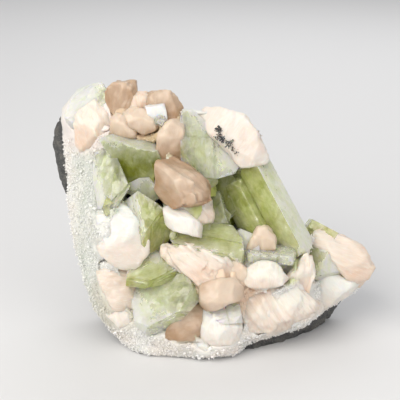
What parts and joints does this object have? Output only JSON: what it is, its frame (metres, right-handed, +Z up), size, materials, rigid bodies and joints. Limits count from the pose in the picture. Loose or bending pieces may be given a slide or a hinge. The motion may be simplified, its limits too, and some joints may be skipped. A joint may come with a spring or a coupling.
{
  "type": "apophyllite with stilbite mineral specimen",
  "caption": "Green apophyllite crystals and peach to white stilbite sheaves on a white drusy crust over basalt matrix; a free-standing cabinet specimen.",
  "frame": {"origin": "on the surface the specimen rests on, under the middle of its box", "axes": "+Z up, +X along the longest side towards the low end, the crystal bed faces -Y and leans back"},
  "size_m": [0.1596, 0.0888, 0.1229],
  "materials": {
    "apophyllite_mid": "clear, vitreous, yellow-green with veils",
    "apophyllite_olive": "clear, vitreous, deep olive green",
    "apophyllite_pale": "clear to frosted, vitreous, pale green with white veils",
    "basalt": "dark grey vesicular basalt, rough",
    "clear_grain": "clear, vitreous, colourless",
    "druse": "white drusy crust with grey-green specks, sparkling",
    "stilbite_cream": "pearly, finely striated, cream",
    "stilbite_peach": "pearly, finely striated, peach, faintly see-through",
    "stilbite_pink": "pearly, finely striated, pale pink",
    "stilbite_white": "pearly, finely striated, white",
    "white_crystal": "opaque white, vitreous"
  },
  "bodies": {
    "root": {"apophyllite_ball_window": "apophyllite_pale", "apophyllite_cavity_back": "apophyllite_olive", "apophyllite_cavity_chip": "apophyllite_pale", "apophyllite_cavity_left": "apophyllite_olive", "apophyllite_cavity_right": "apophyllite_mid", "apophyllite_centre_bar": "apophyllite_mid", "apophyllite_centre_block": "apophyllite_mid", "apophyllite_centre_shelf": "apophyllite_pale", "apophyllite_corner_block": "apophyllite_pale", "apophyllite_left_ledge": "apophyllite_pale", "apophyllite_left_middle": "apophyllite_mid", "apophyllite_left_mottled": "apophyllite_pale", "apophyllite_left_upper_block": "apophyllite_olive", "apophyllite_left_wedge": "apophyllite_mid", "apophyllite_long_prism": "apophyllite_mid", "apophyllite_lower_left_block": "apophyllite_pale", "apophyllite_right_centre_block": "apophyllite_mid", "apophyllite_right_hollow": "apophyllite_mid", "apophyllite_right_rear_point": "apophyllite_mid", "apophyllite_upper_block": "apophyllite_pale", "basalt_matrix": "basalt", "clear_grain": "clear_grain", "druse_crust": "druse", "stilbite_brown_foot": "stilbite_peach", "stilbite_centre_blade": "stilbite_peach", "stilbite_centre_cream": "stilbite_cream", "stilbite_centre_fan": "stilbite_pink", "stilbite_centre_fan_foot": "stilbite_peach", "stilbite_centre_fan_left": "stilbite_pink", "stilbite_corner_wedge": "stilbite_white", "stilbite_foot_bud": "stilbite_cream", "stilbite_front_cap": "stilbite_cream", "stilbite_front_sheaf": "stilbite_cream", "stilbite_left_white": "stilbite_white", "stilbite_lower_left": "stilbite_cream", "stilbite_peach_arc": "stilbite_peach", "stilbite_right_ribbed": "stilbite_pink", "stilbite_right_tip": "stilbite_pink", "stilbite_right_white": "stilbite_white", "stilbite_small_peach_blade": "stilbite_peach", "stilbite_small_triangle": "stilbite_peach", "stilbite_spire": "stilbite_peach", "stilbite_spire_foot": "stilbite_peach", "stilbite_top_arc": "stilbite_peach", "stilbite_top_pink": "stilbite_pink", "stilbite_top_shoulder": "stilbite_peach", "stilbite_upper_left_mass": "stilbite_pink", "stilbite_upper_right": "stilbite_white", "stilbite_white_ball": "stilbite_white", "stilbite_white_lens": "stilbite_white", "white_crystal": "white_crystal"}
  },
  "joints": []
}
